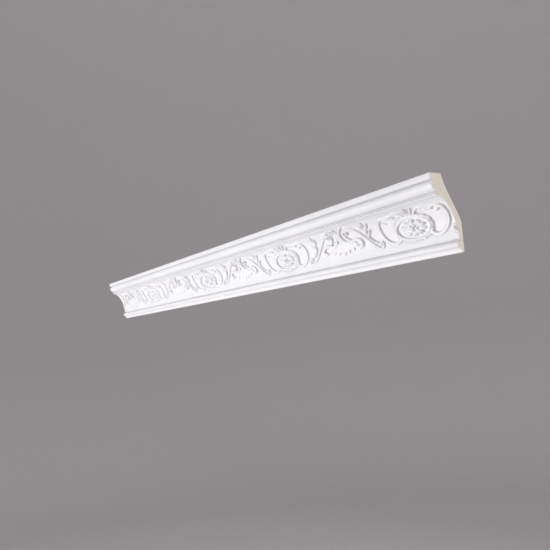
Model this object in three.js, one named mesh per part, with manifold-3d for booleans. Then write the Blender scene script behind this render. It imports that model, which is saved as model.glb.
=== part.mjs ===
// A two metre length of cast cornice moulding for the angle between wall and ceiling.
// Millimetres, +Z up, +X along the length, +Y towards the wall. The origin is the middle of the
// flat face that is glued to the wall. The enriched cove and its plain mouldings are one casting.
import * as THREE from "three";
import { mergeVertices } from "three/addons/utils/BufferGeometryUtils.js";
import Module from "manifold-3d";

// Driving dimensions of the length and its section
const LENGTH = 2000;
const HEIGHT = 155; // down the wall from the ceiling
const PROJECTION = 75; // out along the ceiling from the wall
const WALL_FACE_HEIGHT = 59; // flat land that meets the wall
const CEILING_FACE_WIDTH = 31; // flat land that meets the ceiling

// The ornament repeats four times in a length, so that lengths butt together without a break
const REPEAT = 500;
const MEDALLION_TO_NEAR_END = 112;
const ACANTHUS_X = REPEAT / 2; // the acanthus sits half way between two medallions

// Section of the mouldings: "out" is the distance from the wall, "drop" the distance below the ceiling
const FASCIA = { batter: 0.5, drop: 12, undercut: 7, undercutDrop: 13 };
const OVOLO = { out: 71, topDrop: 19, roundDrop: 26, footOut: 63.5, footDrop: 36 };
const FILLET = { out: 60.3, topDrop: 37, footDrop: 41.2 };
const COVE = { topOut: 58.4, topDrop: 44.5, footOut: 10.9, footDrop: 128.5, power: 1.8 };
const TORUS = { pullOut: 19.5, pullDrop: 137, footOut: 11, footDrop: 145.5 };
const TOE = { out: 6.4, pullOut: 6.8, pullDrop: 147.5 };
const BACK = { lowOut: 12, lowDrop: 62, highOut: 38, highDrop: 32 }; // pulls of the hollow back's curve

// How finely round things are cut into flats
const COVE_FACETS = 9;
const ROUND_FACETS = 4;
const MEMBER_SIDES = 4; // a stem or leaf shows a ridge and two slopes
const RIM_STEPS = 20;

// Ornament, laid out flat on the cove: x along the length from a medallion's centre, v up the curve
// from the cove's foot, and the rise is how far a member stands proud
const SINK = 0.12; // how far a member's middle lies under the cove, as a share of its rise
const MEDALLION = { v: 43.5, halfWidth: 52.5, halfHeight: 26, rimRadius: 5, dishRise: 2.4 };
const ROSETTE = { petals: 8, inner: 0.2, outer: 0.74, halfWidth: 6, rise: 7 };
const BUTTON = { radius: 6.5, rise: 9.5 };
const CROWN = { leaves: 3, spread: 9, footV: 66, tipV: 92, halfWidth: 4.5, rise: 5 };
const HANGING = { reaches: [12, 32, 52], rootV: 46, tipV: 20, tipStep: 4, lean: 6, halfWidth: 7, rise: 5 };
const PENDANT = { rootV: 50, tipV: 18, halfWidth: 7, rise: 5 };
const TALL_LEAF = { rootV: 52, tipV: 95, halfWidth: 8, rise: 5.5 };
const HUSK = { rootX: 150, rootV: 49, tips: [[131, 65], [131, 83]], halfWidth: 4.4, rise: 5 };
const LEAFLET = { rootX: 46, rootV: 76, tipX: 74, tipV: 78, halfWidth: 3.8, rise: 4.5 };

// Colour and gloss of the factory primer
const PRIMER = { color: 0xf1f1f0, roughness: 0.55, metalness: 0 };

const wasm = await Module();
wasm.setup();

const zAt = (drop) => HEIGHT - WALL_FACE_HEIGHT / 2 - drop;
const point = (x, v) => new THREE.Vector2(x, v);
const { lerp, degToRad, clamp } = THREE.MathUtils;

// The cove as a superellipse quadrant in the section plane, running from its foot up to its top
class CoveCurve extends THREE.Curve {
  getPoint(t) {
    const angle = (t * Math.PI) / 2;
    const flattened = (share) => Math.max(share, 0) ** (2 / COVE.power);
    const out = lerp(COVE.topOut, COVE.footOut, flattened(Math.cos(angle)));
    const drop = lerp(COVE.footDrop, COVE.topDrop, flattened(Math.sin(angle)));
    return new THREE.Vector2(-out, zAt(drop));
  }
}
const cove = new CoveCurve();
const coveLength = cove.getLength();

// Bends a geometry made flat in x, v and height on to the cove
function wrap(geometry) {
  const places = geometry.getAttribute("position");
  for (let i = 0; i < places.count; i++) {
    const along = clamp(places.getY(i) / coveLength, 0.002, 0.998);
    const foot = cove.getPointAt(along);
    const up = cove.getTangentAt(along);
    const height = places.getZ(i);
    places.setXYZ(i, places.getX(i), foot.x - up.y * height, foot.y + up.x * height);
  }
  return geometry;
}

// A closed geometry as a solid that can be joined and cut
function solid(geometry) {
  const bare = geometry.clone();
  bare.deleteAttribute("normal");
  bare.deleteAttribute("uv");
  const merged = mergeVertices(bare, 1e-4);
  const vertProperties = new Float32Array(merged.getAttribute("position").array);
  const triVerts = new Uint32Array(merged.index.array);
  return new wasm.Manifold(new wasm.Mesh({ numProp: 3, vertProperties, triVerts }));
}

// A stem that follows a flat curve, bent from a cylinder and tapered from one radius to another
function stem(curve, startRadius, endRadius, steps) {
  const geometry = new THREE.CylinderGeometry(1, 1, 1, MEMBER_SIDES, steps);
  const places = geometry.getAttribute("position");
  for (let i = 0; i < places.count; i++) {
    const along = places.getY(i) + 0.5;
    const centre = curve.getPointAt(along);
    const forward = curve.getTangentAt(along);
    const radius = lerp(startRadius, endRadius, along);
    const side = places.getX(i) * radius;
    const height = (places.getZ(i) - SINK) * radius;
    places.setXYZ(i, centre.x + forward.y * side, centre.y - forward.x * side, height);
  }
  return solid(wrap(geometry));
}

// A leaf lobe from root to tip: a long ridged body let into the cove
function lobe(root, tip, halfWidth, rise) {
  const geometry = new THREE.SphereGeometry(1, MEMBER_SIDES, 4);
  geometry.rotateZ(Math.PI / 2);
  const reach = tip.clone().sub(root);
  const middle = root.clone().lerp(tip, 0.5);
  geometry.scale(reach.length() / 2, halfWidth, rise);
  geometry.rotateZ(reach.angle());
  geometry.translate(middle.x, middle.y, -SINK * rise);
  return solid(wrap(geometry));
}

// Points of a volute from its eye outwards: angles in degrees, radius growing evenly
function volute(eye, startRadius, endRadius, startAngle, endAngle) {
  const count = 8;
  return Array.from({ length: count }, (_, i) => {
    const share = i / (count - 1);
    const angle = degToRad(lerp(startAngle, endAngle, share));
    const radius = lerp(startRadius, endRadius, share);
    return point(eye.x + radius * Math.cos(angle), eye.y + radius * Math.sin(angle));
  });
}

// C-scroll beside the medallion: strap from the crown over and round the outside, tail under the rim
function cScroll() {
  const over = [point(14, 70), point(33, 84.5), point(58, 81.5), point(82, 81), point(98, 71)];
  const down = [point(101.5, 57), point(98, 40), point(87, 26), point(72, 19.5), point(52, 22)];
  return stem(new THREE.SplineCurve([...over, ...down]), 3.4, 5, 13);
}

// Long stem that leans from the acanthus down to a volute beside the C-scroll
function longStem() {
  const coil = volute(point(112, 25), 2.5, 9, -380, -75);
  const rise = [point(133, 24.5), point(154, 42), point(178, 66), point(193, 77.5), point(212, 84)];
  return stem(new THREE.SplineCurve([...coil, ...rise]), 2.8, 5.4, 11);
}

// S-scroll of the acanthus: from a leaf tip down past a small volute, then out to a round end
function sScroll() {
  const reaches = [[30, 91], [12, 78], [8, 67], [17, 53], [33, 48.5], [58, 48], [75, 42], [65, 31.5]];
  const sweep = reaches.map(([reach, v]) => point(ACANTHUS_X - reach, v));
  const coil = volute(point(ACANTHUS_X - 34, 71), 4, 9.5, 330, -35);
  return [stem(new THREE.SplineCurve(sweep), 3.6, 4.8, 11), stem(new THREE.SplineCurve(coil), 2.6, 3, 6)];
}

// Lobes of the acanthus that hang under one S-scroll, stepping up as they go outwards
function hangingLeaves() {
  return HANGING.reaches.map((reach, i) => {
    const root = point(ACANTHUS_X - reach + HANGING.lean, HANGING.rootV);
    const tip = point(ACANTHUS_X - reach - HANGING.lean, HANGING.tipV + HANGING.tipStep * i);
    return lobe(root, tip, HANGING.halfWidth, HANGING.rise);
  });
}

// Husk that stands off the long stem
function husk() {
  const root = point(HUSK.rootX, HUSK.rootV);
  return HUSK.tips.map(([x, v]) => lobe(root, point(x, v), HUSK.halfWidth, HUSK.rise));
}

// Half of the repeat, from a medallion's centre to the acanthus's centre
function halfRepeat() {
  const root = point(LEAFLET.rootX, LEAFLET.rootV);
  const leaflet = lobe(root, point(LEAFLET.tipX, LEAFLET.tipV), LEAFLET.halfWidth, LEAFLET.rise);
  return [cScroll(), longStem(), ...sScroll(), ...hangingLeaves(), ...husk(), leaflet];
}

// Oval rim of the medallion: a ring whose section keeps its width all round
function medallionRim() {
  const geometry = new THREE.TorusGeometry(1, 1, MEMBER_SIDES, RIM_STEPS);
  const places = geometry.getAttribute("position");
  for (let i = 0; i < places.count; i++) {
    const around = ((i % (RIM_STEPS + 1)) / RIM_STEPS) * 2 * Math.PI;
    const across = (Math.floor(i / (RIM_STEPS + 1)) / MEMBER_SIDES) * 2 * Math.PI;
    const reach = MEDALLION.rimRadius * Math.cos(across);
    const x = (MEDALLION.halfWidth + reach) * Math.cos(around);
    const v = MEDALLION.v + (MEDALLION.halfHeight + reach) * Math.sin(around);
    places.setXYZ(i, x, v, MEDALLION.rimRadius * (Math.sin(across) - SINK));
  }
  return solid(wrap(geometry));
}

// Low dome that fills the medallion inside its rim
function medallionDish() {
  const geometry = new THREE.SphereGeometry(1, 12, 6);
  geometry.rotateX(Math.PI / 2);
  geometry.scale(MEDALLION.halfWidth, MEDALLION.halfHeight, MEDALLION.dishRise);
  geometry.translate(0, MEDALLION.v, 0);
  return solid(wrap(geometry));
}

// Oval rosette: petals round a button
function rosette() {
  const petals = Array.from({ length: ROSETTE.petals }, (_, i) => {
    const angle = ((i + 0.5) / ROSETTE.petals) * 2 * Math.PI;
    const full = point(MEDALLION.halfWidth * Math.cos(angle), MEDALLION.halfHeight * Math.sin(angle));
    const at = (share) => full.clone().multiplyScalar(share).add(point(0, MEDALLION.v));
    return lobe(at(ROSETTE.inner), at(ROSETTE.outer), ROSETTE.halfWidth, ROSETTE.rise);
  });
  const edge = BUTTON.radius;
  const button = lobe(point(-edge, MEDALLION.v), point(edge, MEDALLION.v), edge, BUTTON.rise);
  return [...petals, button];
}

// Leaf tips that stand up from the medallion's rim
function crown() {
  return Array.from({ length: CROWN.leaves }, (_, i) => {
    const lean = (i - (CROWN.leaves - 1) / 2) * CROWN.spread;
    const root = point(lean, CROWN.footV);
    const tip = point(2 * lean, CROWN.tipV - Math.abs(lean) / 3);
    return lobe(root, tip, CROWN.halfWidth, CROWN.rise);
  });
}

// Centre of the acanthus: a tall leaf above and a pendant leaf below
function acanthusCentre() {
  const upright = ({ rootV, tipV, halfWidth, rise }) =>
    lobe(point(ACANTHUS_X, rootV), point(ACANTHUS_X, tipV), halfWidth, rise);
  return [upright(TALL_LEAF), upright(PENDANT)];
}

// One whole repeat as a solid: the half and its mirror image about the medallion, with the centres
function repeatOfOrnament() {
  const half = wasm.Manifold.union(halfRepeat());
  const mirrored = half.mirror([1, 0, 0]);
  const middle = [medallionRim(), medallionDish(), ...rosette(), ...crown()];
  return wasm.Manifold.union([half, mirrored, ...middle, ...acanthusCentre()]);
}

// Outline of the plain section, from the ceiling's front edge down the front and up the hollow back
function section() {
  const outline = new THREE.Shape();
  const to = (out, drop) => outline.lineTo(-out, zAt(drop));
  outline.moveTo(-PROJECTION, zAt(0));
  to(PROJECTION - FASCIA.batter, FASCIA.drop);
  to(PROJECTION - FASCIA.undercut, FASCIA.undercutDrop);
  to(OVOLO.out, OVOLO.topDrop);
  to(OVOLO.out, OVOLO.roundDrop);
  for (let i = 1; i <= ROUND_FACETS; i++) {
    const angle = ((i / ROUND_FACETS) * Math.PI) / 2;
    const out = lerp(OVOLO.footOut, OVOLO.out, Math.cos(angle));
    to(out, lerp(OVOLO.roundDrop, OVOLO.footDrop, Math.sin(angle)));
  }
  to(FILLET.out, FILLET.topDrop);
  to(FILLET.out, FILLET.footDrop);
  for (const place of cove.getSpacedPoints(COVE_FACETS).reverse()) outline.lineTo(place.x, place.y);
  outline.quadraticCurveTo(-TORUS.pullOut, zAt(TORUS.pullDrop), -TORUS.footOut, zAt(TORUS.footDrop));
  outline.quadraticCurveTo(-TOE.pullOut, zAt(TOE.pullDrop), -TOE.out, zAt(HEIGHT));
  to(0, HEIGHT);
  to(0, HEIGHT - WALL_FACE_HEIGHT);
  const low = [-BACK.lowOut, zAt(BACK.lowDrop)];
  const high = [-BACK.highOut, zAt(BACK.highDrop)];
  outline.bezierCurveTo(...low, ...high, CEILING_FACE_WIDTH - PROJECTION, zAt(0));
  outline.closePath();
  return outline;
}

// The plain length, extruded along X, with the section's own axes laid on Y and Z
function plainLength() {
  const run = { depth: LENGTH, bevelEnabled: false, curveSegments: 6 };
  const geometry = new THREE.ExtrudeGeometry(section(), run);
  geometry.translate(0, 0, -LENGTH / 2);
  const axes = new THREE.Matrix4().makeBasis(
    new THREE.Vector3(0, 1, 0),
    new THREE.Vector3(0, 0, 1),
    new THREE.Vector3(1, 0, 0),
  );
  return solid(geometry.applyMatrix4(axes));
}

// The casting: the plain length with every repeat joined on, sawn square at both ends
function casting() {
  const repeat = repeatOfOrnament();
  const nearest = LENGTH / 2 - MEDALLION_TO_NEAR_END;
  const copies = [];
  for (let x = nearest + REPEAT; x > -LENGTH / 2 - REPEAT; x -= REPEAT) {
    copies.push(repeat.translate([x, 0, 0]));
  }
  const between = solid(new THREE.BoxGeometry(LENGTH, 4 * PROJECTION, 4 * HEIGHT));
  const made = wasm.Manifold.union([plainLength(), ...copies]).intersect(between);
  const { vertProperties, triVerts } = made.getMesh();
  const geometry = new THREE.BufferGeometry();
  geometry.setAttribute("position", new THREE.BufferAttribute(vertProperties, 3));
  geometry.setIndex(new THREE.BufferAttribute(triVerts, 1));
  geometry.computeVertexNormals();
  return geometry;
}

const length = new THREE.Mesh(casting(), new THREE.MeshStandardMaterial(PRIMER));
length.name = "cornice_length";

const cornice = new THREE.Group();
cornice.add(length);

export default cornice;
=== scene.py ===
"""A two metre length of enriched cornice, cast in rigid polyurethane foam and primed white.

Metres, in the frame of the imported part: +X along the length, +Y into the wall, +Z up to the ceiling,
origin in the middle of the face that is glued to the wall. Sizes are written in millimetres.
"""

import math

import bmesh
import bpy
import numpy as np
from mathutils import Matrix, Vector


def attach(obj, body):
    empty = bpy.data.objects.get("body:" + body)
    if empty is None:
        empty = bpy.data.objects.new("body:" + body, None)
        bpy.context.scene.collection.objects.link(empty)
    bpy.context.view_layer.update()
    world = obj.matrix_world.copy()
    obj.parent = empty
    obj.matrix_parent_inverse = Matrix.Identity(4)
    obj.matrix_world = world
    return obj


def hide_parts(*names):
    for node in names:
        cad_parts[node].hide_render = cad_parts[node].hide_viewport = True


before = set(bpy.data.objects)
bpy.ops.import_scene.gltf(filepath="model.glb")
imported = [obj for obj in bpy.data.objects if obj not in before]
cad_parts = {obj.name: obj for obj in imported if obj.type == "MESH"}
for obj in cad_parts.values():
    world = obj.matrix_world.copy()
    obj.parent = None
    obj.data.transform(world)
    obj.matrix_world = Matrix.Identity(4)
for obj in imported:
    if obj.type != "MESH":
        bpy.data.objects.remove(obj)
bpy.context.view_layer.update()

MM = 0.001

# Section of the casting: "out" is the distance from the wall, "drop" the distance below the ceiling
LENGTH = 2000.0
HEIGHT = 155.0
PROJECTION = 75.0
WALL_FACE_HEIGHT = 59.0
CEILING_FACE_WIDTH = 31.0
FASCIA = {"batter": 0.5, "drop": 12.0, "soffit_out": 68.4, "soffit_drop": 12.6}
OVOLO = {"top_out": 69.2, "top_drop": 15.8, "bulge_out": 73.6, "high_drop": 17.4, "low_drop": 30.0}
OVOLO_FOOT = {"out": 63.8, "drop": 35.4}
LIP = {"out": 62.2, "top_drop": 36.9, "foot_drop": 38.8}
FILLET = {"out": 60.8, "top_drop": 40.3, "foot_drop": 44.0}
OVOLO_QUIRK_DEPTH = 7.0  # the sunk line between fascia and ovolo
QUIRK_DEPTH = 5.0  # the sunk lines over the lip and the fillet
QUIRK_EASE = 0.3  # how much each side of a sunk line closes in towards its back
COVE = {"top_out": 58.4, "top_drop": 44.5, "foot_out": 10.9, "foot_drop": 128.5, "power": 1.8}
FOOT_QUIRK = {"out": 5.2, "top_drop": 129.2, "foot_drop": 131.6}
TORUS = {"top_out": 10.8, "top_drop": 132.0, "bulge": 8.6, "foot_out": 11.0, "foot_drop": 145.5}
TOE = {"out": 6.4, "pull_out": 6.8, "pull_drop": 147.5}
BACK = {"low_out": 12.0, "low_drop": 62.0, "high_out": 38.0, "high_drop": 32.0}
ARRIS = 0.5  # how far the mould's corners are eased
SKIN = 1.3  # thickness of the dense skin that shows round the sawn back edge

# How finely the section's curves are stepped, and which corners stay crisp
ROUND_STEPS = 16  # ovolo and torus
BACK_STEPS = 24
TOE_STEPS = 8
ARRIS_STEPS = 3
COVE_SAMPLES = 4001  # fine steps from which even ones along the cove are taken
EASED_SHARE = 0.4  # an eased corner takes at most this share of the face on each side
FLAT_TURN = 155  # corners flatter than this, in degrees, are not eased
CRISP_TURN = 46  # edges that turn more than this, in degrees, are shaded crisp
SAME_PLACE = 0.01  # points closer than this are the same point

# Layout of the ornament on the cove: u along from a medallion's axis, v up the curve from the cove's foot
REPEAT = 500.0
HALF_REPEAT = REPEAT / 2
MEDALLION_TO_NEAR_END = 112.0
HALF_REPEAT_COLUMNS = 520
BAND_ROWS = 214
SET_IN_DEPTH = 2.8  # the ground dips towards the foot of every raised member
SHALLOW_SET_IN = 0.9  # round the low leaves it dips less
DEEP_SET_IN = 3.8  # along the scrolls of the acanthus it dips more
SET_IN_WIDTH = 3.4
HALF_REPEAT_TRIANGLES = 24000  # what is left of half a repeat's grid once its plain parts are thinned
SEAM = 0.3  # repeats are welded where they meet within this distance


def place(out, drop):
    """A point of the section, in millimetres, as y and z in the part's frame."""
    return np.array([-out, HEIGHT - WALL_FACE_HEIGHT / 2 - drop])


# Curves of the section


def bezier(points, count):
    """Points along a quadratic or cubic curve, without its first point."""
    points = [np.array(p, float) for p in points]
    found = []
    for share in np.linspace(0, 1, count + 1)[1:]:
        level = points
        while len(level) > 1:
            level = [a + (b - a) * share for a, b in zip(level, level[1:])]
        found.append(level[0])
    return found


def cove_points(count):
    """The cove from its foot to its top, a flattened quarter oval, at even steps along the curve."""
    angle = np.linspace(0, math.pi / 2, COVE_SAMPLES)
    flattened = 2 / COVE["power"]
    out = COVE["top_out"] - (COVE["top_out"] - COVE["foot_out"]) * np.clip(np.cos(angle), 0, 1) ** flattened
    drop = COVE["foot_drop"] - (COVE["foot_drop"] - COVE["top_drop"]) * np.sin(angle) ** flattened
    curve = place(out, drop).T
    run = np.concatenate([[0], np.cumsum(np.hypot(*np.diff(curve, axis=0).T))])
    even = np.linspace(0, run[-1], count)
    points = np.stack([np.interp(even, run, curve[:, 0]), np.interp(even, run, curve[:, 1])], axis=1)
    along = np.gradient(points, axis=0)
    along /= np.linalg.norm(along, axis=1, keepdims=True)
    outward = np.stack([-along[:, 1], along[:, 0]], axis=1)
    return points, outward, even


def eased(points):
    """Replaces every sharp corner with a small round, as a mould leaves it."""
    found = [points[0]]
    for before, corner, after in zip(points, points[1:], points[2:]):
        back, on = before - corner, after - corner
        back_length, on_length = np.linalg.norm(back), np.linalg.norm(on)
        turn = math.degrees(math.acos(np.clip(np.dot(back, on) / back_length / on_length, -1, 1)))
        if turn > FLAT_TURN:
            found.append(corner)
            continue
        cut = min(ARRIS, EASED_SHARE * back_length, EASED_SHARE * on_length)
        start = corner + back / back_length * cut
        end = corner + on / on_length * cut
        found.extend([start, *bezier([start, corner, end], ARRIS_STEPS)])
    return found + [points[-1]]


def back_outline():
    """The hollow back, from the wall face's top edge up to the ceiling face's inner edge."""
    wall_edge = place(0, HEIGHT - WALL_FACE_HEIGHT)
    pulls = [place(BACK["low_out"], BACK["low_drop"]), place(BACK["high_out"], BACK["high_drop"])]
    ceiling_edge = place(PROJECTION - CEILING_FACE_WIDTH, 0)
    return [wall_edge, *bezier([wall_edge, *pulls, ceiling_edge], BACK_STEPS)]


def foot_outline():
    """Sunk line, torus and toe, from the cove's foot down to the casting's lower edge."""
    sunk = [place(FOOT_QUIRK["out"], FOOT_QUIRK[side]) for side in ("top_drop", "foot_drop")]
    torus_top = place(TORUS["top_out"], TORUS["top_drop"])
    torus_foot = place(TORUS["foot_out"], TORUS["foot_drop"])
    torus_out = TORUS["top_out"] + TORUS["bulge"]
    pulls = [place(torus_out, TORUS[end]) for end in ("top_drop", "foot_drop")]
    torus = bezier([torus_top, *pulls, torus_foot], ROUND_STEPS)
    toe_pull = place(TOE["pull_out"], TOE["pull_drop"])
    toe = bezier([torus_foot, toe_pull, place(TOE["out"], HEIGHT)], TOE_STEPS)
    return [*sunk, torus_top, *torus, *toe]


def head_outline():
    """Fascia, ovolo, lip and fillet with sunk lines between, from the ceiling down to the cove."""
    ovolo_top = place(OVOLO["top_out"], OVOLO["top_drop"])
    ovolo_foot = place(OVOLO_FOOT["out"], OVOLO_FOOT["drop"])
    pulls = [place(OVOLO["bulge_out"], OVOLO[end]) for end in ("high_drop", "low_drop")]
    sunk_out = OVOLO["top_out"] - OVOLO_QUIRK_DEPTH
    points = [
        place(PROJECTION, 0),
        place(PROJECTION - FASCIA["batter"], FASCIA["drop"]),
        place(FASCIA["soffit_out"], FASCIA["soffit_drop"]),
        place(sunk_out, FASCIA["soffit_drop"] + QUIRK_EASE),
        place(sunk_out, OVOLO["top_drop"] - QUIRK_EASE),
        ovolo_top,
        *bezier([ovolo_top, *pulls, ovolo_foot], ROUND_STEPS),
    ]
    above = OVOLO_FOOT["drop"]
    for member in (LIP, FILLET):
        sunk_out = member["out"] - QUIRK_DEPTH
        points.append(place(sunk_out, above + QUIRK_EASE))
        points.append(place(sunk_out, member["top_drop"] - QUIRK_EASE))
        points.append(place(member["out"], member["top_drop"]))
        points.append(place(member["out"], member["foot_drop"]))
        above = member["foot_drop"]
    return points


# Ways of drawing raised members on the flat layout

FAR_OFF = 1e3  # stands for a place that a member doesn't reach
MEMBER_REACH = 14.0  # no member or its set-in ground goes further from its path
STRAP_HOLLOW = 0.3  # how far a strap's face is hollowed, as a share of its rise
VEIN = {"depth": 0.38, "width": 0.2}  # as shares of a leaf's rise and half width
COIL_STEPS = 14
SOFTENING_PASSES = 3

def spline(points, per_span=10):
    """A smooth path through the points."""
    points = np.array(points, float)
    padded = np.vstack([2 * points[0] - points[1], points, 2 * points[-1] - points[-2]])
    t = np.linspace(0, 1, per_span, endpoint=False)[:, None]
    spans = []
    for a, b, c, d in zip(padded, padded[1:], padded[2:], padded[3:]):
        curve = 2 * b + (c - a) * t + (2 * a - 5 * b + 4 * c - d) * t**2 + (3 * b - a - 3 * c + d) * t**3
        spans.append(0.5 * curve)
    return np.vstack(spans + [points[-1:]])


def coil(eye, start_radius, end_radius, start_angle, end_angle):
    """Points of a volute from its eye outwards."""
    angles = np.radians(np.linspace(start_angle, end_angle, COIL_STEPS))
    radii = np.linspace(start_radius, end_radius, COIL_STEPS)
    return [(eye[0] + r * math.cos(a), eye[1] + r * math.sin(a)) for r, a in zip(radii, angles)]


def rounded(s):
    """Section of a stem: half round. s is 0 on the centre line and 1 at the edge."""
    return np.sqrt(np.clip(1 - s**2, 0, 1))


def strapped(s):
    """Section of a strap: steep sides and a hollowed face between rolled edges."""
    return np.sqrt(np.clip(1 - s**6, 0, 1)) * (1 - STRAP_HOLLOW + STRAP_HOLLOW * s**2)


def veined(s):
    """Section of a leaf: half round with a cut vein along the middle."""
    return rounded(s) * (1 - VEIN["depth"] * np.exp(-((s / VEIN["width"]) ** 2)))


def taper(start, end):
    """A width or a rise that changes evenly from one end of a member to the other."""
    return lambda t: start + (end - start) * t


def blade(width, root=0.35):
    """Half width of a leaf: narrow at the root, full past the middle, pointed at the tip."""
    return lambda t: width * np.maximum(np.sin(np.pi * np.clip(t, 0, 1) ** 0.8) ** 0.75, root * (1 - t))


def curling(rise):
    """Rise of a leaf that stands further off the ground as it nears its tip."""
    return lambda t: rise * (0.55 + 0.45 * t)


class Relief:
    """Heights of the ornament over the flat layout, built up one member at a time."""

    def __init__(self, u, v):
        self.u = u
        self.v = v
        self.raised = np.zeros_like(u)
        self.dip = np.zeros_like(u)

    def add(self, height, beyond, set_in=SET_IN_DEPTH):
        """Joins a member by its height and the distance outside its edge; the ground dips round it."""
        self.raised = np.maximum(self.raised, height)
        near_foot = np.clip(1 - np.maximum(beyond, 0) / SET_IN_WIDTH, 0, 1)
        self.dip = np.maximum(self.dip, set_in * near_foot**1.5)

    def member(self, points, half_width, rise, section=rounded, set_in=SET_IN_DEPTH):
        """Joins a member that follows a path, with a width, a rise and a section of its own."""
        path = spline(points)
        low = path.min(axis=0) - MEMBER_REACH
        high = path.max(axis=0) + MEMBER_REACH
        inside = (self.u > low[0]) & (self.u < high[0]) & (self.v > low[1]) & (self.v < high[1])
        u, v = self.u[inside], self.v[inside]
        steps = np.hypot(*np.diff(path, axis=0).T)
        run = np.concatenate([[0], np.cumsum(steps)])
        distance = np.full(u.shape, FAR_OFF)
        along = np.zeros(u.shape)
        for start, end, begun, step in zip(path, path[1:], run, steps):
            way = (end - start) / step
            t = np.clip((u - start[0]) * way[0] + (v - start[1]) * way[1], 0, step)
            off = np.hypot(u - start[0] - t * way[0], v - start[1] - t * way[1])
            closer = off < distance
            distance[closer] = off[closer]
            along[closer] = (begun + t[closer]) / run[-1]
        width = np.maximum(half_width(along), 1e-3)
        across = np.minimum(distance / width, 1)
        height = np.zeros_like(self.raised)
        height[inside] = np.where(across < 1, rise(along) * section(across), 0)
        beyond = np.full(self.raised.shape, FAR_OFF)
        beyond[inside] = distance - width
        self.add(height, beyond, set_in)

    def heights(self):
        """The finished surface: raised members, and between them the ground, set in round their feet."""
        surface = np.where(self.raised > 0, self.raised, -self.dip)
        for _ in range(SOFTENING_PASSES):
            surface = softened(surface)
        return surface


def softened(h):
    """Eases the finest edges a little, as primer does when it fills them."""
    p = np.pad(h, 1, mode="edge")
    return (4 * h + p[:-2, 1:-1] + p[2:, 1:-1] + p[1:-1, :-2] + p[1:-1, 2:]) / 8


# Members of the ornament

MEDALLION = {"v": 43.5, "half_width": 48.0, "half_height": 21.5, "dish_rise": 1.4, "set_in": 5.0}
RIM_BEAD = {"half_width": 2.3, "rise": 5.6}
GADROONS = {"count": 18, "inner": 3.6, "notch": 4.6, "outer": 9.4, "rise": 4.0}


def oval(u, v, half_width, half_height):
    """Share of the way out to an oval round the medallion's centre, and the distance beyond it."""
    y = v - MEDALLION["v"]
    share = np.hypot(u / half_width, y / half_height) + 1e-9
    slope = np.hypot(u / half_width**2, y / half_height**2) / share + 1e-9
    return share, (share - 1) / slope


def way_round(u, v, half_width, half_height):
    """How far round an oval a place lies, 0 to 1 by length of rim."""
    angle = np.arctan2((v - MEDALLION["v"]) / half_height, u / half_width) % (2 * np.pi)
    full = np.linspace(0, 2 * np.pi, 721)
    steps = np.hypot(np.diff(half_width * np.cos(full)), np.diff(half_height * np.sin(full)))
    run = np.concatenate([[0], np.cumsum(steps)])
    return np.interp(angle, full, run / run[-1])


def medallion(relief):
    """Low dish inside a beaded rim, with gadroons round the outside."""
    u, v = relief.u, relief.v
    half_width, half_height = MEDALLION["half_width"], MEDALLION["half_height"]
    share, beyond = oval(u, v, half_width, half_height)
    dish = MEDALLION["dish_rise"] * rounded(np.minimum(share, 1))
    bead_across = np.abs(beyond - RIM_BEAD["half_width"]) / RIM_BEAD["half_width"]
    bead = RIM_BEAD["rise"] * rounded(np.minimum(bead_across, 1))
    middle = (GADROONS["inner"] + GADROONS["outer"]) / 2
    turn = way_round(u, v, half_width + middle, half_height + middle)
    across = 2 * ((turn * GADROONS["count"] + 0.5) % 1) - 1
    edge = GADROONS["notch"] + (GADROONS["outer"] - GADROONS["notch"]) * np.sqrt(1 - (0.86 * across) ** 2)
    out = (beyond - GADROONS["inner"]) / (edge - GADROONS["inner"])
    crown_of_lobe = 0.62 + 0.38 * rounded(across)
    lobe = np.where(out > -0.2, GADROONS["rise"] * rounded(np.clip(out, 0, 1)) * crown_of_lobe, 0)
    relief.add(np.maximum.reduce([dish, bead, lobe]), beyond - edge, MEDALLION["set_in"])


ROSETTE = {"half_width": 40.0, "half_height": 20.0}
LOWER_PETALS = {"count": 5, "turn": 270, "spread": 0.5, "reach": 1, "base": 2.6, "rise": 6.0, "hollow": 0.3}
UPPER_PETALS = {"count": 5, "turn": 90, "spread": 0.56, "reach": 1, "base": 3.4, "rise": 7.6, "hollow": 0.36}
HEART_PETALS = {"count": 5, "turn": 270, "spread": 0.9, "reach": 0.42, "base": 6.8, "rise": 5, "hollow": 0.3}
PETAL = {"drawn_in": 0.34, "notch": 0.1, "notch_width": 0.18, "hollow_width": 0.3}
BUTTON = {"reach": 0.17, "base": 9.6, "rise": 2.2}


def whorl(share, angle, petals):
    """Heights of one ring of petals: round, hollowed along the middle, notched at the tip."""
    pitch = 2 * np.pi / petals["count"]
    turned = angle - math.radians(petals["turn"])
    off = ((turned + pitch / 2) % pitch - pitch / 2) / (pitch / 2 * petals["spread"])
    off = np.clip(off, -1, 1)
    notch = PETAL["notch"] * np.exp(-((off / PETAL["notch_width"]) ** 2))
    edge = petals["reach"] * (1 - PETAL["drawn_in"] * np.abs(off) ** 2.6 - notch)
    out = np.clip(share / edge, 0, 1)
    lift = petals["base"] + petals["rise"] * out**1.2
    hollow = 1 - petals["hollow"] * np.exp(-((off / PETAL["hollow_width"]) ** 2)) * out
    return np.where(out < 1, lift * rounded(0.98 * off) * hollow * rounded(out**5), 0)


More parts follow.
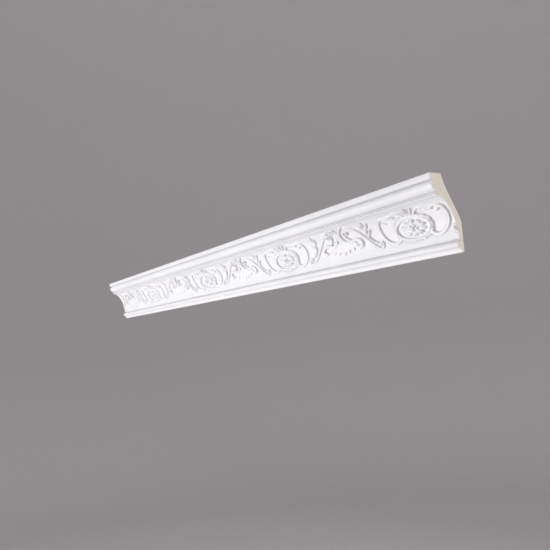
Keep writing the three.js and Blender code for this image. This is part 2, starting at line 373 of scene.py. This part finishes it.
def rosette(relief):
    """Flower of three rings of petals and a button, stretched to the medallion's oval."""
    y = (relief.v - MEDALLION["v"]) / ROSETTE["half_height"]
    x = relief.u / ROSETTE["half_width"]
    share, angle = np.hypot(x, y), np.arctan2(y, x)
    button_across = np.minimum(share / BUTTON["reach"], 1)
    button = np.where(button_across < 1, BUTTON["base"] + BUTTON["rise"] * rounded(button_across), 0)
    rings = [whorl(share, angle, petals) for petals in (LOWER_PETALS, UPPER_PETALS, HEART_PETALS)]
    relief.add(np.maximum.reduce([*rings, button]), FAR_OFF)


def crown(relief):
    """Leaf tips that stand up over the medallion's rim."""
    for points, width in (
        ([(0, 62), (0, 77), (0, 92)], 5.0),
        ([(5, 66), (9, 78), (17, 89)], 4.2),
        ([(12, 67), (20, 77), (31, 84)], 3.6),
    ):
        relief.member(points, blade(width), curling(width + 0.7), veined)


def c_scroll(relief):
    """Strap from the crown over and round the outside to a tail under the rim, with leaflets and a bud."""
    over = [(14, 70), (22, 79), (33, 84.5), (46, 84.5), (58, 81.5), (70, 81), (82, 81), (92, 78)]
    down = [(98.5, 70), (101.5, 58), (100.5, 46), (96, 36), (88.5, 27.5), (79, 21.5)]
    tail = [(68, 18.5), (57, 19.5), (46, 26)]
    relief.member(over + down + tail, taper(2.4, 4), taper(3.8, 4.1), strapped)
    for root, bend, tip in (((43, 77), (53, 75.5), (61, 77)), ((58, 76), (66, 75.5), (74, 79))):
        relief.member([root, bend, tip], blade(3.7), curling(5.4), veined)
    relief.member([(73, 66.5), (80, 68), (88, 71.5)], blade(3.2), curling(5), rounded, SHALLOW_SET_IN)


def long_stem(relief):
    """Horn-shaped stem that widens from a volute beside the C-scroll up to the acanthus."""
    horn = [(122, 18.5), (133, 24.5), (145, 34), (154, 42), (163, 51), (178, 66), (193, 77.5), (212, 84)]

    def widening(t):
        return np.interp(t, [0, 0.45, 0.6, 0.72, 0.9, 1], [2.4, 2.8, 4.2, 6.0, 7.6, 6.0])

    relief.member(coil((112, 25), 1.2, 9, -420, -75) + horn, widening, taper(3.8, 4.3), strapped)


def husk(relief):
    """Leaf of four lobes on a stalk that runs up beside the long stem."""
    stalk = [(121, 29.5), (130, 33.5), (139, 41), (147, 51), (147, 61)]
    relief.member(stalk, taper(2.0, 2.6), taper(3.8, 4.4))
    for points, width in (
        ([(149, 54), (148, 66), (147, 78), (148, 89)], 3.2),
        ([(150, 49), (142, 55), (131, 65)], 4.2),
        ([(149, 65), (141, 73), (131, 83)], 4.2),
        ([(150, 62), (155, 71), (157, 80)], 3.0),
    ):
        relief.member(points, blade(width), curling(width + 0.9), veined)


def from_acanthus(points):
    """Places given by their distance from the acanthus's axis."""
    return [(HALF_REPEAT - a, v) for a, v in points]


def s_scroll(relief):
    """Strap of the acanthus: from a leaf tip, down round a small volute, then out to a round end."""
    strap = [(30, 91), (20, 86.5), (11.5, 77.5), (7.5, 68), (10.5, 58), (18.5, 50.5), (31, 47)]
    round_end = [(46, 49.5), (60, 50.5), (71, 47), (76.5, 40), (73, 33.5), (65, 31.5)]
    relief.member(from_acanthus(strap + round_end), taper(3, 4.2), taper(5.6, 5.4), strapped, DEEP_SET_IN)
    volute = coil((34, 71), 1.5, 9.5, -200, 215) + [(30, 59), (38, 53)]
    relief.member(from_acanthus(volute), taper(2.2, 2.6), taper(4.9, 4.3))


FAN = {"leaves": 4, "reach": 62.0, "root_v": 47.0, "axis_tip_v": 18.0, "outer_tip_v": 30.0, "rise": 3.2}


def acanthus(relief):
    """Tall leaf above, and a drooping fan of low leaves that spreads out below the scrolls."""
    tall_leaf = from_acanthus([(0, 52), (0, 74), (0, 95)])
    relief.member(tall_leaf, blade(9, 0.7), curling(5), veined, SHALLOW_SET_IN)
    for i in range(FAN["leaves"]):
        share = i / (FAN["leaves"] - 1)
        droop = (FAN["outer_tip_v"] - FAN["axis_tip_v"]) * share**1.2
        tip = (FAN["reach"] * share, FAN["axis_tip_v"] + droop)
        root = (0.3 * tip[0], FAN["root_v"] - 3 * share)
        bend = (0.78 * tip[0], 0.55 * root[1] + 0.45 * tip[1] + 2 * share)
        width = blade(11 - 2.5 * share, 0.7)
        relief.member(from_acanthus([root, bend, tip]), width, curling(FAN["rise"]), veined, SHALLOW_SET_IN)


def ornament(u, v):
    """Heights of the whole repeat over the flat layout."""
    relief = Relief(u, v)
    for part in (medallion, rosette, crown, c_scroll, long_stem, husk, s_scroll, acanthus):
        part(relief)
    return relief.heights()


# The casting's mesh


def half_repeat():
    """The cove from a medallion's axis to an acanthus's axis: a fine grid with the ornament raised on it."""
    bm = bmesh.new()
    bmesh.ops.create_grid(bm, x_segments=HALF_REPEAT_COLUMNS, y_segments=BAND_ROWS, size=0.5)
    mesh = bpy.data.meshes.new("half_repeat")
    bm.to_mesh(mesh)
    bm.free()
    flat = np.empty(len(mesh.vertices) * 3)
    mesh.vertices.foreach_get("co", flat)
    flat = flat.reshape(-1, 3) + 0.5
    column = np.rint(flat[:, 0] * HALF_REPEAT_COLUMNS).astype(int)
    row = np.rint(flat[:, 1] * BAND_ROWS).astype(int)
    points, outward, climb = cove_points(BAND_ROWS + 1)
    u = np.linspace(0, HALF_REPEAT, HALF_REPEAT_COLUMNS + 1)
    height = ornament(*np.meshgrid(u, climb))
    height[[0, -1]] = 0
    surface = points[row] + outward[row] * height[row, column][:, None]
    mesh.vertices.foreach_set("co", (np.column_stack([u[column], surface]) * MM).ravel())
    return mesh


def enriched_band():
    """Half a repeat thinned where it is plain, mirrored, and repeated past both ends of the casting."""
    band = bpy.data.objects.new("enriched_band", half_repeat())
    bpy.context.scene.collection.objects.link(band)
    thin = band.modifiers.new("thin", "DECIMATE")
    thin.ratio = HALF_REPEAT_TRIANGLES / (2 * HALF_REPEAT_COLUMNS * BAND_ROWS)
    other_half = band.modifiers.new("other_half", "MIRROR")
    other_half.merge_threshold = SEAM * MM
    repeats = band.modifiers.new("repeats", "ARRAY")
    repeats.count = math.ceil(LENGTH / REPEAT) + 1
    repeats.use_relative_offset = False
    repeats.use_constant_offset = True
    repeats.constant_offset_displace = (-REPEAT * MM, 0, 0)
    repeats.use_merge_vertices = True
    repeats.merge_threshold = SEAM * MM
    mesh = bpy.data.meshes.new_from_object(band.evaluated_get(bpy.context.evaluated_depsgraph_get()))
    bpy.data.objects.remove(band)
    bm = bmesh.new()
    bm.from_mesh(mesh)
    bpy.data.meshes.remove(mesh)
    end = LENGTH / 2 * MM
    bmesh.ops.translate(bm, verts=bm.verts, vec=(end - MEDALLION_TO_NEAR_END * MM, 0, 0))
    for side in (1, -1):
        everything = [*bm.verts, *bm.edges, *bm.faces]
        cut = {"plane_co": (side * end, 0, 0), "plane_no": (side, 0, 0)}
        bmesh.ops.bisect_plane(bm, geom=everything, clear_outer=True, dist=1e-6, **cut)
    return bm


def long_edge(bm, start):
    """An edge as long as the casting, through one point of the section."""
    return bm.edges.new([bm.verts.new((side * LENGTH / 2 * MM, *(start * MM))) for side in (1, -1)])


def pulled_along(bm, edge, outline, material):
    """Pulls a long edge through the points of an outline, and gives back the edge it ends on."""
    for before, after in zip(outline, outline[1:]):
        made = bmesh.ops.extrude_edge_only(bm, edges=[edge])["geom"]
        moved = [g for g in made if isinstance(g, bmesh.types.BMVert)]
        bmesh.ops.translate(bm, verts=moved, vec=(0, *((after - before) * MM)))
        for face in (g for g in made if isinstance(g, bmesh.types.BMFace)):
            face.material_index = material
        edge = next(g for g in made if isinstance(g, bmesh.types.BMEdge))
    return edge


def join_rim(bm, band_edges, level, edge):
    """Closes the strip between one rim of the band and the nearest long edge of the plain members."""
    y, z = level * MM
    rim = [e for e in band_edges if all(math.hypot(v.co.y - y, v.co.z - z) < SEAM * MM for v in e.verts)]
    for v in {v for e in rim for v in e.verts}:
        v.co.y, v.co.z = y, z
    bmesh.ops.bridge_loops(bm, edges=[*rim, edge])


PRIMED, BARE_SKIN, SAWN = 0, 1, 2


def sawn_end(bm, side):
    """Closes one end: a strip of dense skin along the hollow back, and the foam core inside it."""
    x = side * LENGTH / 2 * MM
    open_edges = [e for e in bm.edges if e.is_boundary and all(abs(v.co.x - x) < 0.5 * MM for v in e.verts)]
    for v in {v for e in open_edges for v in e.verts}:
        v.co.x = x
    back = np.array(back_outline()) * MM

    def on_back(v):
        return np.min(np.hypot(back[:, 0] - v.co.y, back[:, 1] - v.co.z)) < SAME_PLACE * MM

    back_edges = [e for e in open_edges if all(on_back(v) for v in e.verts)]
    pulled = bmesh.ops.extrude_edge_only(bm, edges=back_edges)["geom"]
    along = np.gradient(back, axis=0)
    along /= np.linalg.norm(along, axis=1, keepdims=True)
    for v in (g for g in pulled if isinstance(g, bmesh.types.BMVert)):
        i = np.argmin(np.hypot(back[:, 0] - v.co.y, back[:, 1] - v.co.z))
        v.co.y -= along[i, 1] * SKIN * MM
        v.co.z += along[i, 0] * SKIN * MM
    for face in (g for g in pulled if isinstance(g, bmesh.types.BMFace)):
        face.material_index = BARE_SKIN
    rim = [e for e in bm.edges if e.is_boundary and all(abs(v.co.x - x) < SAME_PLACE * MM for v in e.verts)]
    core = bmesh.ops.contextual_create(bm, geom=rim)["faces"]
    for face in core:
        face.material_index = SAWN


def casting():
    """The whole length as one closed mesh: enriched band, plain members, hollow back and sawn ends."""
    bm = enriched_band()
    band_edges = [e for e in bm.edges if e.is_boundary]
    back = back_outline()
    foot = eased([*foot_outline(), place(0, HEIGHT), back[0]])
    head = eased([back[-1], *head_outline()])
    wall_corner, ceiling_corner = foot[-2], head[1]
    first = long_edge(bm, foot[0])
    last = pulled_along(bm, first, foot[:-1], PRIMED)
    last = pulled_along(bm, last, [wall_corner, *back, ceiling_corner], BARE_SKIN)
    last = pulled_along(bm, last, head[1:], PRIMED)
    join_rim(bm, band_edges, place(COVE["foot_out"], COVE["foot_drop"]), first)
    join_rim(bm, band_edges, place(COVE["top_out"], COVE["top_drop"]), last)
    for face in bm.faces:
        face.smooth = True
    for side in (1, -1):
        sawn_end(bm, side)
    bmesh.ops.recalc_face_normals(bm, faces=bm.faces)
    mesh = bpy.data.meshes.new("cornice_moulding")
    bm.to_mesh(mesh)
    bm.free()
    mesh.set_sharp_from_angle(angle=math.radians(CRISP_TURN))
    piece = bpy.data.objects.new("cornice_moulding", mesh)
    bpy.context.scene.collection.objects.link(piece)
    return piece


# Materials


def linear(hex_colour):
    """An sRGB hex colour as linear red, green, blue and alpha."""
    channels = [int(hex_colour[i : i + 2], 16) / 255 for i in (0, 2, 4)]
    return (*[c / 12.92 if c <= 0.04045 else ((c + 0.055) / 1.055) ** 2.4 for c in channels], 1.0)


def add(tree, kind, links=None, **settings):
    """Adds a node, sets its properties and input values, and links its inputs."""
    node = tree.nodes.new(kind)
    for name, value in settings.items():
        if hasattr(node, name):
            setattr(node, name, value)
        else:
            node.inputs[name].default_value = value
    for name, source in (links or {}).items():
        tree.links.new(source, node.inputs[name])
    return node


def surface(name):
    """A new material with its shader, object coordinates and node tree."""
    material = bpy.data.materials.new(name)
    material.use_nodes = True
    tree = material.node_tree
    return material, tree, tree.nodes["Principled BSDF"], add(tree, "ShaderNodeTexCoord").outputs["Object"]


def per_millimetre(size):
    """Texture scale that makes a pattern's feature about this many millimetres."""
    return 1 / (size * MM)


def primed_polyurethane():
    """White factory primer sprayed on moulded polyurethane: satin, with a faint sprayed texture."""
    material, tree, shader, at = surface("primed_polyurethane")
    shader.inputs["Roughness"].default_value = 0.48
    shader.inputs["IOR"].default_value = 1.48
    cloud = add(tree, "ShaderNodeTexNoise", {"Vector": at}, Scale=per_millimetre(160), Detail=3.0)
    tone = add(tree, "ShaderNodeValToRGB", {"Fac": cloud.outputs["Fac"]})
    tone.color_ramp.elements[0].position = 0.35
    tone.color_ramp.elements[0].color = linear("f1f1f4")
    tone.color_ramp.elements[1].position = 0.65
    tone.color_ramp.elements[1].color = linear("f6f6f7")
    tree.links.new(tone.outputs["Color"], shader.inputs["Base Color"])
    # The spray's orange peel is about 1.5 mm across
    peel = add(tree, "ShaderNodeTexNoise", {"Vector": at}, Scale=per_millimetre(1.5), Detail=2.0)
    height = {"Height": peel.outputs["Fac"]}
    bump = add(tree, "ShaderNodeBump", height, Strength=0.12, Distance=0.05 * MM)
    tree.links.new(bump.outputs["Normal"], shader.inputs["Normal"])
    return material


def bare_skin():
    """The casting's own dense skin, left bare on the back: cream, dull, with small pits from trapped air."""
    material, tree, shader, at = surface("bare_polyurethane_skin")
    shader.inputs["Roughness"].default_value = 0.62
    cloud = add(tree, "ShaderNodeTexNoise", {"Vector": at}, Scale=per_millimetre(45), Detail=4.0)
    tone = add(tree, "ShaderNodeValToRGB", {"Fac": cloud.outputs["Fac"]})
    tone.color_ramp.elements[0].position = 0.3
    tone.color_ramp.elements[0].color = linear("ddd4c6")
    tone.color_ramp.elements[1].position = 0.7
    tone.color_ramp.elements[1].color = linear("e8e1d6")
    tree.links.new(tone.outputs["Color"], shader.inputs["Base Color"])
    pits = add(tree, "ShaderNodeTexVoronoi", {"Vector": at}, Scale=per_millimetre(9))
    hollow = add(tree, "ShaderNodeMath", {0: pits.outputs["Distance"]}, operation="LESS_THAN")
    hollow.inputs[1].default_value = 0.12
    height = {"Height": hollow.outputs["Value"]}
    bump = add(tree, "ShaderNodeBump", height, invert=True, Strength=0.5, Distance=0.4 * MM)
    tree.links.new(bump.outputs["Normal"], shader.inputs["Normal"])
    return material


def sawn_foam():
    """Rigid foam where the saw has opened it: beige, matt, full of fine cells."""
    material, tree, shader, at = surface("sawn_polyurethane_foam")
    shader.inputs["Roughness"].default_value = 0.85
    # The cells are about 0.4 mm, drawn at 1.2 mm so that they show
    cells = add(tree, "ShaderNodeTexVoronoi", {"Vector": at}, Scale=per_millimetre(1.2))
    cloud = add(tree, "ShaderNodeTexNoise", {"Vector": at}, Scale=per_millimetre(14), Detail=5.0)
    parts = {0: cells.outputs["Distance"], 1: cloud.outputs["Fac"]}
    blend = add(tree, "ShaderNodeMath", parts, operation="MULTIPLY")
    tone = add(tree, "ShaderNodeValToRGB", {"Fac": blend.outputs["Value"]})
    tone.color_ramp.elements[0].position = 0.05
    tone.color_ramp.elements[0].color = linear("d0c6ba")
    tone.color_ramp.elements[1].position = 0.4
    tone.color_ramp.elements[1].color = linear("ded5ca")
    tree.links.new(tone.outputs["Color"], shader.inputs["Base Color"])
    height = {"Height": cells.outputs["Distance"]}
    bump = add(tree, "ShaderNodeBump", height, Strength=0.5, Distance=0.3 * MM)
    tree.links.new(bump.outputs["Normal"], shader.inputs["Normal"])
    return material


# Studio: a pale floor that sweeps up into a round backdrop, soft lights and the camera

FLOOR_Z = -2.4
BACKDROP_RADIUS = 10.0
SWEEP_RADIUS = 2.5
BACKDROP_HEIGHT = 13.0


def studio():
    """Floor and backdrop as one turned surface."""
    bm = bmesh.new()
    wall = [Vector((0, 0, FLOOR_Z)), Vector((BACKDROP_RADIUS - SWEEP_RADIUS, 0, FLOOR_Z))]
    for angle in np.linspace(0, math.pi / 2, 12)[1:]:
        out = BACKDROP_RADIUS - SWEEP_RADIUS + SWEEP_RADIUS * math.sin(angle)
        wall.append(Vector((out, 0, FLOOR_Z + SWEEP_RADIUS * (1 - math.cos(angle)))))
    wall.append(Vector((BACKDROP_RADIUS, 0, FLOOR_Z + BACKDROP_HEIGHT)))
    verts = [bm.verts.new(p) for p in wall]
    edges = [bm.edges.new(pair) for pair in zip(verts, verts[1:])]
    bmesh.ops.spin(
        bm, geom=verts + edges, cent=(0, 0, 0), axis=(0, 0, 1), dvec=(0, 0, 0),
        angle=2 * math.pi, steps=72, use_merge=True, use_duplicate=False,
    )
    bmesh.ops.remove_doubles(bm, verts=bm.verts, dist=1e-5)
    bmesh.ops.recalc_face_normals(bm, faces=bm.faces)
    bmesh.ops.reverse_faces(bm, faces=bm.faces)
    for face in bm.faces:
        face.smooth = True
    mesh = bpy.data.meshes.new("studio_floor")
    bm.to_mesh(mesh)
    bm.free()
    floor = bpy.data.objects.new("studio_floor", mesh)
    bpy.context.scene.collection.objects.link(floor)
    material, _, shader, _ = surface("pale_studio_paint")
    shader.inputs["Base Color"].default_value = linear("c9c5c6")
    shader.inputs["Roughness"].default_value = 0.9
    mesh.materials.append(material)


def softbox(name, position, target, size, power, colour="ffffff"):
    """A square soft light that faces a point."""
    data = bpy.data.lights.new(name, "AREA")
    data.shape = "SQUARE"
    data.size = size
    data.energy = power
    data.color = linear(colour)[:3]
    light = bpy.data.objects.new(name, data)
    light.location = position
    light.rotation_euler = (Vector(target) - Vector(position)).to_track_quat("-Z", "Y").to_euler()
    light.visible_camera = False
    bpy.context.scene.collection.objects.link(light)


def lights():
    """Low soft key along the front, one nearer the near end, one on the sawn end and a lift behind."""
    softbox("key", (-3.4, -5.6, -1.5), (0.1, 0, 0.05), 1.7, 205)
    softbox("near_front", (-0.3, -2.5, -0.95), (0.9, 0, 0.05), 0.8, 24)
    softbox("end_light", (3.4, 0.9, 0.2), (1.0, 0, 0.05), 0.9, 44)
    softbox("back_lift", (-0.6, 3.6, 1.6), (0, 0, 0), 2.4, 60)
    world = bpy.data.worlds.new("studio_air")
    world.use_nodes = True
    world.node_tree.nodes["Background"].inputs["Color"].default_value = linear("f4f5f8")
    world.node_tree.nodes["Background"].inputs["Strength"].default_value = 0.8
    bpy.context.scene.world = world
    bpy.context.scene.view_settings.view_transform = "Standard"


CAMERA_PLACE = (1.921, -1.006, -0.1705)
CAMERA_YAW = 31.6  # turned from straight down the length towards the wall
CAMERA_PITCH = 5.4
CAMERA_ROLL = -4.3
FOCAL_PIXELS = 672.0  # for a picture 550 pixels wide
PICTURE_PIXELS = 550.0


def camera():
    """Camera near the sawn end, below the length and in front of it, looking along it and up."""
    yaw, pitch, roll = (math.radians(a) for a in (CAMERA_YAW, CAMERA_PITCH, CAMERA_ROLL))
    level = Vector((-math.cos(yaw), math.sin(yaw), 0))
    side = Vector((math.sin(yaw), math.cos(yaw), 0))
    ahead = math.cos(pitch) * level + Vector((0, 0, math.sin(pitch)))
    up = Vector((0, 0, math.cos(pitch))) - math.sin(pitch) * level
    right = math.cos(roll) * side + math.sin(roll) * up
    up = math.cos(roll) * up - math.sin(roll) * side
    data = bpy.data.cameras.new("camera")
    data.sensor_width = 36.0
    data.lens = data.sensor_width * FOCAL_PIXELS / PICTURE_PIXELS
    view = bpy.data.objects.new("camera", data)
    view.matrix_world = Matrix.Translation(CAMERA_PLACE) @ Matrix((right, up, -ahead)).transposed().to_4x4()
    bpy.context.scene.collection.objects.link(view)
    bpy.context.scene.camera = view


piece = casting()
for material in (primed_polyurethane(), bare_skin(), sawn_foam()):
    piece.data.materials.append(material)
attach(piece, "root")
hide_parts("cornice_length")
studio()
lights()
camera()
